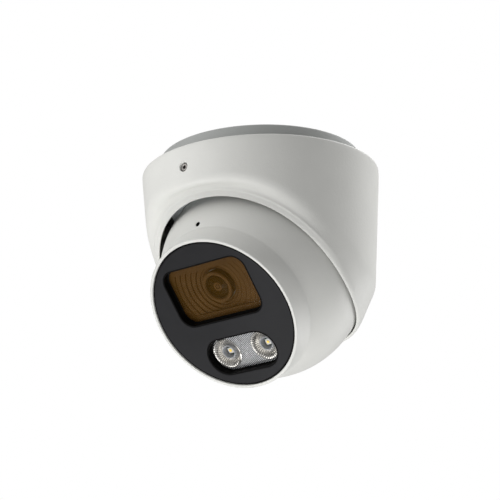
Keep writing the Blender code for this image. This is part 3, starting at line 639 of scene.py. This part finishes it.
def build_cover(looks):
    cover = add("cover_shell", looped(cover_cage()), looks["cover_coat"], "turret", ["cover"])
    smooth = cover.modifiers.new("smooth", "SUBSURF")
    smooth.levels = 2
    smooth.render_levels = 2
    facing = Matrix.Translation((0, 0, SCREW_LINE)) @ Matrix.Rotation(math.pi / 2, 4, "X")
    mouth = cover_radius(SCREW_LINE)
    hole = turned([(SCREW_HOLE_RADIUS, COVER_BORE - 3), (SCREW_HOLE_RADIUS, mouth - 0.35),
                   (SCREW_HOLE_RADIUS + 0.3, mouth), (SCREW_HOLE_RADIUS + 0.6, mouth + 1)], 64)
    cut(cover, hole, facing)
    bake_modifiers(cover)

    outer = mouth - 0.75
    screw = turned([(0.3, 56.7), (1.95, 58.1), (1.95, outer - 0.3)] + arc((1.65, outer - 0.3), 0.3, 0, 90, 4)
                   + [(1.2, outer), (1.05, outer - 0.15)], 48)
    grub = add("grub_screw", screw, looks["dark_steel"], "turret", ["set_screw"], facing)
    cut(grub, turned([(1.05, outer + 1), (1.05, outer - 1.3), (0.4, outer - 1.6)], 6), facing)
    bake_modifiers(grub)


# ---------------------------------------------------------------- ball

def sphere_arc(radius, start, end, steps):
    """Points of a sphere's outline between two heights, evenly spaced along it."""
    first, last = math.asin(start / radius), math.asin(end / radius)
    angles = [first + (last - first) * k / steps for k in range(steps + 1)]
    return [(radius * math.cos(a), radius * math.sin(a)) for a in angles]


def build_ball_front(looks):
    """The front shell: the ball, its drum, the rim and ledge that hold the face, and the mic's hole, with
    painted shade inside it.
    """
    inner = BALL_RADIUS - SHELL_WALL
    face = PARTING_AT + PARTING_HALF
    crease_radius = math.sqrt(BALL_RADIUS ** 2 - CREASE_AT ** 2)
    front = [(math.sqrt(inner ** 2 - face ** 2), face)]
    front += sphere_arc(BALL_RADIUS, face, CREASE_AT - 0.4, 40)
    front += [(crease_radius + 0.05, CREASE_AT + 0.05), (crease_radius - 0.08, CREASE_AT + 0.6)]
    front += [(DRUM_FRONT_RADIUS + 0.25, RIM_AT - 4), (DRUM_FRONT_RADIUS, RIM_AT - 0.9)]
    front += arc((DRUM_FRONT_RADIUS - 0.6, RIM_AT - 0.6), 0.6, 10, 90, 6)
    front += arc((RIM_BORE + 0.3, RIM_AT - 0.3), 0.3, 90, 180, 4)
    front += [(RIM_BORE, LEDGE_AT), (LEDGE_BORE, LEDGE_AT), (LEDGE_BORE, LEDGE_AT - 2.4)]
    front += sphere_arc(inner, 30.5, face + 0.01, 20)
    shell = add("ball_front", turned_ring(front), looks["shell_coat"], "ball", ["front_shell"],
                BALL_FRAME, SHELL_SHARP)
    toward_mic = BALL_FRAME @ Matrix.Rotation(-MIC_ANGLE, 4, "X")
    hole = [(MIC_HOLE_RADIUS, inner - 3), (MIC_HOLE_RADIUS, BALL_RADIUS - 0.2)]
    hole += [(MIC_HOLE_RADIUS + 0.25, BALL_RADIUS + 0.02), (MIC_HOLE_RADIUS + 0.8, BALL_RADIUS + 1)]
    cut(shell, turned(hole, 40), toward_mic)
    bake_modifiers(shell, SHELL_SHARP)
    # A near-black plug just inside the mouth of the mic's hole: painted shade, so that the hole looks dark.
    shade_radius = MIC_HOLE_RADIUS - 0.02
    shade_plug = [(0.2, BALL_RADIUS - 1.2), (0.75, BALL_RADIUS - 1.2), (0.85, BALL_RADIUS - 0.3)]
    shade_plug += [(shade_radius, BALL_RADIUS - 0.22), (shade_radius, BALL_RADIUS - 2.6), (0.2, BALL_RADIUS - 2.6)]
    add("mic_hole_shade", turned(shade_plug, 40), looks["shade_black"], "ball", (), toward_mic)


def build_ball_back(looks):
    """The rear shell: the back of the ball with its neck, and the step that carries the seal."""
    inner = BALL_RADIUS - SHELL_WALL
    face = PARTING_AT - PARTING_HALF
    inner_flat = FLAT_AT + SHELL_WALL
    groove_low, groove_high, groove_radius = CLIP_GROOVE
    back = sphere_arc(BALL_RADIUS, face, FLAT_AT, 32)
    back += [(NECK_RADIUS + 0.4, FLAT_AT), (NECK_RADIUS, FLAT_AT - 0.4), (NECK_RADIUS, groove_high),
             (groove_radius, groove_high), (groove_radius, groove_low), (NECK_RADIUS, groove_low),
             (NECK_RADIUS - 0.3, NECK_END), (NECK_BORE, NECK_END), (NECK_BORE, inner_flat)]
    back += sphere_arc(inner, inner_flat + 0.1, -18.5, 24)
    back += [(44.7, face), (44.7, -11.0), (46.2, -11.0), (46.2, -12.2), (45.2, -12.2), (45.2, -14.2),
             (46.2, -14.2), (46.2, face)]
    add("ball_back", turned_ring(back), looks["shell_coat"], "ball", ["rear_shell"],
        BALL_FRAME, SHELL_SHARP)


# ---------------------------------------------------------------- face

def plate_with_windows(name, outlines, low, high, bevel, look, stands_for):
    """A flat plate from a curve outline with holes in it, its edges rounded."""
    curve = bpy.data.curves.new(name, "CURVE")
    curve.dimensions = "2D"
    curve.fill_mode = "BOTH"
    curve.extrude = ((high - low) / 2 - bevel) * MM
    curve.bevel_depth = bevel * MM
    curve.bevel_resolution = 3
    for outline in outlines:
        spline = curve.splines.new("POLY")
        spline.points.add(len(outline) - 1)
        for point, (x, y) in zip(spline.points, outline):
            point.co = (x * MM, y * MM, 0, 1)
        spline.use_cyclic_u = True
    shape = bpy.data.objects.new(name + "_outline", curve)
    bpy.context.scene.collection.objects.link(shape)
    bpy.context.view_layer.update()
    graph = bpy.context.evaluated_depsgraph_get()
    mesh = bpy.data.meshes.new_from_object(shape.evaluated_get(graph))
    bpy.data.objects.remove(shape)
    bm = bmesh.new()
    bm.from_mesh(mesh)
    bmesh.ops.remove_doubles(bm, verts=bm.verts, dist=0.000002)
    bm.transform(Matrix.Scale(1 / MM, 4))
    return add(name, bm, look, "ball", stands_for, on_face((0, 0, (low + high) / 2)), PLATE_SHARP)


def shifted(outline, centre):
    return [(x + centre.x, y + centre.y) for x, y in outline]


def window_outline(size, grow=0.0):
    width, height, corner = size
    return rounded_rectangle(width + 2 * grow, height + 2 * grow, corner + grow)


def build_bezel(looks):
    """The black face, the deep black liners of its two windows, a near-black ring in the gap round it and
    the lens's pane; the liners and the ring carry painted shade.
    """
    rim = [(x, y) for x, y, _ in circle(BEZEL_RADIUS - FACE_GAP - FACE_EDGE, 0, FINE_SEGMENTS)]
    windows = [shifted(window_outline(LENS_WINDOW, FACE_EDGE + LINER), LENS_CENTRE),
               shifted(window_outline(LED_WINDOW, FACE_EDGE + LINER), LED_CENTRE)]
    plate_with_windows("face_plate", [rim] + windows, BEZEL_BACK, BEZEL_FRONT, FACE_EDGE,
                       looks["bezel_black"], ["front_bezel"])
    for name, size, centre, seat in (("lens", LENS_WINDOW, LENS_CENTRE, LENS_PANE[1]),
                                     ("led", LED_WINDOW, LED_CENTRE, LED_TOP)):
        outer, inner = window_outline(size, LINER - 0.02), window_outline(size, -0.2)
        flange = window_outline(size, -0.8)
        section = [(outer, LINER_FRONT), (outer, seat + 0.05), (flange, seat + 0.05), (flange, seat + 0.3),
                   (inner, seat + 0.45), (inner, LINER_FRONT)]
        surround = looped([[(x, y, z) for x, y in outline] for outline, z in section])
        # The liners are darker than the face: painted shade of the window recesses.
        add(f"{name}_surround", surround, looks["shade_black"], "ball", (),
            on_face(centre), 25)
    # A near-black ring filling the gap round the face: painted shade where the gap is dark.
    inside, outside = BEZEL_RADIUS - FACE_GAP + 0.02, BEZEL_RADIUS + FACE_GAP
    gap_shade = [(inside, BEZEL_BACK), (inside, LINER_FRONT), (outside, LINER_FRONT), (outside, BEZEL_BACK)]
    add("face_gap_shade", turned_ring(gap_shade), looks["shade_black"], "ball", (), BALL_FRAME)
    low, high = LENS_PANE
    pane = [shifted(window_outline(LENS_WINDOW, -0.35), LENS_CENTRE)]
    plate_with_windows("lens_pane", pane, low, high, 0.12, looks["brown_pane"], ["lens_window"])


# ---------------------------------------------------------------- lens and the stepped funnel around it

BAFFLE_STEPS = (24.0, 21.3, 18.5, 15.7, 13.0, 10.7)  # radii
BAFFLE_LEDGES = (-12.1, 10.7)  # heights on the face, from the lens


def baffle_loop(radius, z, count=FINE_SEGMENTS):
    """A circle about the lens, flattened where it meets the funnel's two straight ledges."""
    points = []
    for k in range(count):
        angle = FULL_TURN * k / count
        y = min(max(radius * math.sin(angle), BAFFLE_LEDGES[0]), BAFFLE_LEDGES[1])
        points.append((radius * math.cos(angle), y, z))
    return points


def frame_loop(width, height, corner, z, count=FINE_SEGMENTS):
    """A rounded rectangle with its points in the same directions as a circle's."""
    points = []
    for k in range(count):
        angle = FULL_TURN * k / count
        dx, dy = math.cos(angle), math.sin(angle)
        reach = min(width / 2 / max(abs(dx), 1e-6), height / 2 / max(abs(dy), 1e-6))
        x, y = reach * dx, reach * dy
        corner_x = width / 2 - corner
        corner_y = height / 2 - corner
        if abs(x) > corner_x and abs(y) > corner_y:
            along = corner_x * abs(dx) + corner_y * abs(dy)
            inside = along ** 2 - (corner_x ** 2 + corner_y ** 2 - corner ** 2)
            reach = along + math.sqrt(max(inside, 0))
            x, y = reach * dx, reach * dy
        points.append((x, y, z))
    return points


def build_baffle(looks):
    """A funnel of shallow steps, with a fine groove at the foot of each riser."""
    top, low, riser = 37.0, 33.6, 0.42
    loops = [frame_loop(52, 32, 7.5, low), frame_loop(52, 32, 7.5, top)]
    z = top
    for radius in BAFFLE_STEPS:
        loops.append(baffle_loop(radius + 0.1, z))
        z -= riser
        loops.append(baffle_loop(radius, z - 0.5))
        loops.append(baffle_loop(radius - 0.35, z - 0.5))
        loops.append(baffle_loop(radius - 0.45, z))
    loops += [baffle_loop(9.6, z), baffle_loop(9.2, low + 0.1), baffle_loop(8.6, low)]
    add("lens_funnel", looped(loops), looks["funnel"], "ball", ["lens_baffle"],
        on_face(LENS_CENTRE), 25)


def build_lens(looks):
    """The barrel with its flange, the rim round the glass, the domed glass, the iris seen in it, and a
    painted glint at the glass's centre.
    """
    barrel = [(5.0, 17.0), (5.0, 30.0), (5.0, 32.0), (3.4, 32.2), (3.4, 32.7), (5.6, 33.6), (6.15, 33.7)]
    barrel += [(6.15, 35.6), (6.4, 36.5), (8.25, 36.5), (8.3, 34.5), (7.0, 34.5), (7.0, 17.0)]
    add("lens_tube", turned_ring(barrel, 128), looks["barrel"], "ball", ["lens_barrel"],
        on_face(LENS_CENTRE))
    rim = [(6.4, 36.5), (6.45, 36.8)] + arc((7.0, LENS_RIM_FRONT - 0.45), 0.4, 150, 90, 4)
    rim += arc((7.9, LENS_RIM_FRONT - 0.4), 0.35, 90, 0, 4) + [(8.25, 36.5)]
    add("lens_rim", turned_ring(rim, 128), looks["funnel"], "ball", (), on_face(LENS_CENTRE))
    angles = [math.radians(degrees) for degrees in range(4, 91, 6)]
    dome = [(LENS_RADIUS * math.sin(a), LENS_EDGE + LENS_CROWN * math.cos(a)) for a in angles]
    dome += [(LENS_RADIUS, LENS_EDGE), (LENS_RADIUS, LENS_EDGE - 0.9)]
    add("lens_dome", turned(dome, 96), looks["lens_glass"], "ball",
        ["lens_front_element"], on_face(LENS_CENTRE))
    iris = [(1.2, 36.42), (1.3, 36.5), (2.7, 36.2), (2.8, 36.1), (2.7, 35.9), (1.3, 36.2)]
    add("lens_iris", turned_ring(iris, 64), looks["funnel"], "ball", (), on_face(LENS_CENTRE))
    # A small lighter disc just over the glass's centre: a painted glint, standing in for the reflection seen
    # there.
    spot = [(0.1, 36.5), (0.7, 36.45), (1.0, 36.3), (0.9, 36.1)]
    add("lens_painted_glint", turned(spot, 48), looks["funnel"], "ball", (), on_face(LENS_CENTRE))


# ---------------------------------------------------------------- lights

CUP_FLUTES = 36
RIB_PITCH = 0.75
RIB_ANGLE = math.radians(26)
RIB_LINES = 30
RIB_STEP = 0.1
RIB_STEPS = 240


def led_places():
    return [on_face(LED_CENTRE + Vector((side * LED_SPACING / 2, 0, 0))) for side in (-1, 1)]


def fluted_cup():
    """A shallow cup whose side is fluted like a squeezer, with a smooth brim."""
    per_flute = 6
    count = CUP_FLUTES * per_flute
    brim = [(LED_CUP_RADIUS, LED_TOP - 0.15, 0.0), (LED_CUP_RADIUS - 0.3, LED_TOP, 0.0),
            (LED_CUP_RADIUS - 0.7, LED_TOP - 0.2, 0.0)]
    side = [(7.0, 37.7, 0.28), (6.2, 36.9, 0.45), (5.4, 36.25, 0.42), (4.6, 35.8, 0.28)]
    foot = [(4.0, 35.45, 0.0), (3.7, 35.3, 0.0), (3.7, 34.6, 0.0), (4.4, 34.6, 0.0), (5.2, 35.2, 0.0)]
    back = [(LED_CUP_RADIUS, 37.4, 0.0)]
    loops = []
    for radius, z, depth in brim + side + foot + back:
        loop = []
        for k in range(count):
            angle = FULL_TURN * k / count
            lift = depth * math.cos(CUP_FLUTES * angle)
            loop.append((radius * math.cos(angle), radius * math.sin(angle), z + lift))
        loops.append(loop)
    return looped(loops)


def stadium_half_height(x, size):
    width, height, corner = size
    beyond = abs(x) - (width / 2 - corner)
    if beyond <= 0:
        return height / 2
    return math.sqrt(max(corner ** 2 - beyond ** 2, 0))


def clear_of_cups(x, y):
    """True where the plate between the cups is open, a little away from its edges."""
    if abs(y) > stadium_half_height(x, LED_WINDOW) - 0.5:
        return False
    return min(math.hypot(x - side * LED_SPACING / 2, y) for side in (-1, 1)) > LED_CUP_RADIUS + 0.1


def rib_runs():
    """The straight runs of the fine ribs on the plate, each as its two ends."""
    along = Vector((math.cos(RIB_ANGLE), math.sin(RIB_ANGLE)))
    across = Vector((-along.y, along.x))
    runs = []
    for line in range(-RIB_LINES, RIB_LINES + 1):
        start = None
        for k in range(-RIB_STEPS, RIB_STEPS + 1):
            spot = across * (line * RIB_PITCH) + along * (k * RIB_STEP)
            if clear_of_cups(spot.x, spot.y):
                start = start or spot
                last = spot
            elif start:
                if (last - start).length > 0.5:
                    runs.append((start, last))
                start = None
    return runs, across


def build_ribs(look):
    """Fine ribs, each a low three-sided bar."""
    runs, across = rib_runs()
    bm = bmesh.new()
    base, crown, half = LED_TOP - 0.45, LED_TOP - 0.05, RIB_PITCH * 0.27
    for start, end in runs:
        rings = []
        for spot in (start, end):
            corners = [(spot - across * half, base), (spot + across * half, base), (spot, crown)]
            rings.append([bm.verts.new((p.x, p.y, z)) for p, z in corners])
        join_rings(bm, rings[0], rings[1])
        bm.faces.new(rings[0])
        bm.faces.new(list(reversed(rings[1])))
    add("led_ribs", bm, look, "ball", (), on_face(LED_CENTRE), 20)


def build_lights(looks):
    """The ribbed plate with its two fluted cups, each with a collar, a package and a die."""
    cup = clear_optic("led_cup_look", (0.74, 0.72, 0.68), 0.13, 0.9)
    plate = clear_optic("led_plate_look", (0.04, 0.042, 0.045), 0.35, 0.0)
    outline = window_outline(LED_WINDOW, -0.35)
    holes = []
    for side in (-1, 1):
        centre = LED_CENTRE + Vector((side * LED_SPACING / 2, 0, 0))
        ring = [(x, y) for x, y, _ in circle(LED_CUP_RADIUS - 0.1, 0, 96)]
        holes.append(shifted(ring, centre))
    plate_with_windows("led_plate", [shifted(outline, LED_CENTRE)] + holes, 37.3, LED_TOP - 0.4, 0.05, plate,
                       ["led_lens"])
    build_ribs(clear_optic("led_rib_look", (0.95, 0.97, 0.99), 0.3, 0.3))
    grey = moulded_plastic("led_ring_look", (0.3, 0.31, 0.33), 0.25, 0.00001)
    collar = [(3.65, 36.6), (3.55, 36.8), (3.2, 36.8), (3.0, 36.5)]
    collar += [(2.4, 34.9), (2.4, 33.7), (3.65, 33.7)]
    for side, place in zip(("left", "right"), led_places()):
        add(f"led_cup_{side}", fluted_cup(), cup, "ball", (), place, 50)
        add(f"led_ring_{side}", turned_ring(collar, 64), grey, "ball", (), place)
        package = prism(rounded_rectangle(2.9, 2.9, 0.4, 4), 33.5, 34.9)
        add(f"led_body_{side}", package, looks["led_package"], "ball", [f"led_{side}"], place)
        die = prism(rounded_rectangle(1.25, 1.25, 0.25, 3), 34.9, 35.15)
        add(f"glowing_led_die_{side}", die, looks["glowing_led_die"], "ball", (), place)


# ---------------------------------------------------------------- stage

def build_stage():
    floor_mesh = bpy.data.meshes.new("floor")
    signs = ((-1, -1), (1, -1), (1, 1), (-1, 1))
    corners = [(sx * FLOOR_HALF, sy * FLOOR_HALF, STAGE_FLOOR) for sx, sy in signs]
    floor_mesh.from_pydata(corners, [], [(0, 1, 2, 3)])
    floor = bpy.data.objects.new("floor", floor_mesh)
    bpy.context.scene.collection.objects.link(floor)
    look = Look("pale_floor", (0.82, 0.82, 0.82), 0.9)
    look.vary_colour(look.noise(3.0), (0.81, 0.81, 0.81), (0.83, 0.83, 0.83))
    floor_mesh.materials.append(look.material)


def add_area_light(name, azimuth, elevation, power):
    """A square soft box that faces the object, placed by its direction from it."""
    light = bpy.data.lights.new(name, "AREA")
    light.shape = "SQUARE"
    light.size = LIGHT_SIZE
    light.energy = power
    made = bpy.data.objects.new(name, light)
    bpy.context.scene.collection.objects.link(made)
    a, e = math.radians(azimuth), math.radians(elevation)
    away = Vector((math.sin(a) * math.cos(e), -math.cos(a) * math.cos(e), math.sin(e)))
    made.location = CAMERA_TARGET + away * LIGHT_DISTANCE
    made.visible_camera = False
    made.rotation_euler = away.to_track_quat("Z", "Y").to_euler()


def build_world():
    """White to the eye, and a soft grey light all round."""
    world = bpy.data.worlds.new("studio")
    bpy.context.scene.world = world
    world.use_nodes = True
    tree = world.node_tree
    tree.nodes.clear()
    soft = tree.nodes.new("ShaderNodeBackground")
    soft.inputs["Color"].default_value = (1.0, 1.0, 1.0, 1.0)
    soft.inputs["Strength"].default_value = SOFT_LIGHT
    seen = tree.nodes.new("ShaderNodeBackground")
    seen.inputs["Color"].default_value = (1.0, 1.0, 1.0, 1.0)
    seen.inputs["Strength"].default_value = 1.0
    path = tree.nodes.new("ShaderNodeLightPath")
    mix = tree.nodes.new("ShaderNodeMixShader")
    out = tree.nodes.new("ShaderNodeOutputWorld")
    tree.links.new(path.outputs["Is Camera Ray"], mix.inputs["Fac"])
    tree.links.new(soft.outputs["Background"], mix.inputs[1])
    tree.links.new(seen.outputs["Background"], mix.inputs[2])
    tree.links.new(mix.outputs["Shader"], out.inputs["Surface"])


def build_lighting():
    build_world()
    add_area_light("key_low", -35, -65, 8.8)
    add_area_light("key_left", -35, 15, 4.9)
    add_area_light("top_left", -35, 50, 4.4)
    add_area_light("fill_front", 38, -40, 2.5)
    add_area_light("back_right", 160, -12, 6.5)
    add_area_light("back_top", 160, 50, 12)
    scene = bpy.context.scene
    scene.view_settings.view_transform = "Standard"
    scene.view_settings.look = "None"


def build_camera():
    data = bpy.data.cameras.new("camera")
    data.lens = CAMERA_LENS
    data.sensor_width = 36.0
    data.shift_x, data.shift_y = CAMERA_SHIFT
    data.clip_start = 0.05
    camera = bpy.data.objects.new("camera", data)
    bpy.context.scene.collection.objects.link(camera)
    a, e = CAMERA_AZIMUTH, CAMERA_BELOW
    away = Vector((math.sin(a) * math.cos(e), -math.cos(a) * math.cos(e), -math.sin(e)))
    level = Vector((math.cos(a), math.sin(a), 0))
    upright = away.cross(level)
    right = math.cos(CAMERA_ROLL) * level + math.sin(CAMERA_ROLL) * upright
    up = -math.sin(CAMERA_ROLL) * level + math.cos(CAMERA_ROLL) * upright
    turn = Matrix((right, up, away)).transposed().to_4x4()
    camera.matrix_world = Matrix.Translation(CAMERA_TARGET + away * CAMERA_DISTANCE) @ turn
    bpy.context.scene.camera = camera


def main():
    looks = make_looks()
    paint_cad_nodes(looks)
    build_camera()
    build_base(looks)
    build_cover(looks)
    build_ball_front(looks)
    build_ball_back(looks)
    build_bezel(looks)
    build_baffle(looks)
    build_lens(looks)
    build_lights(looks)
    build_stage()
    build_lighting()


main()
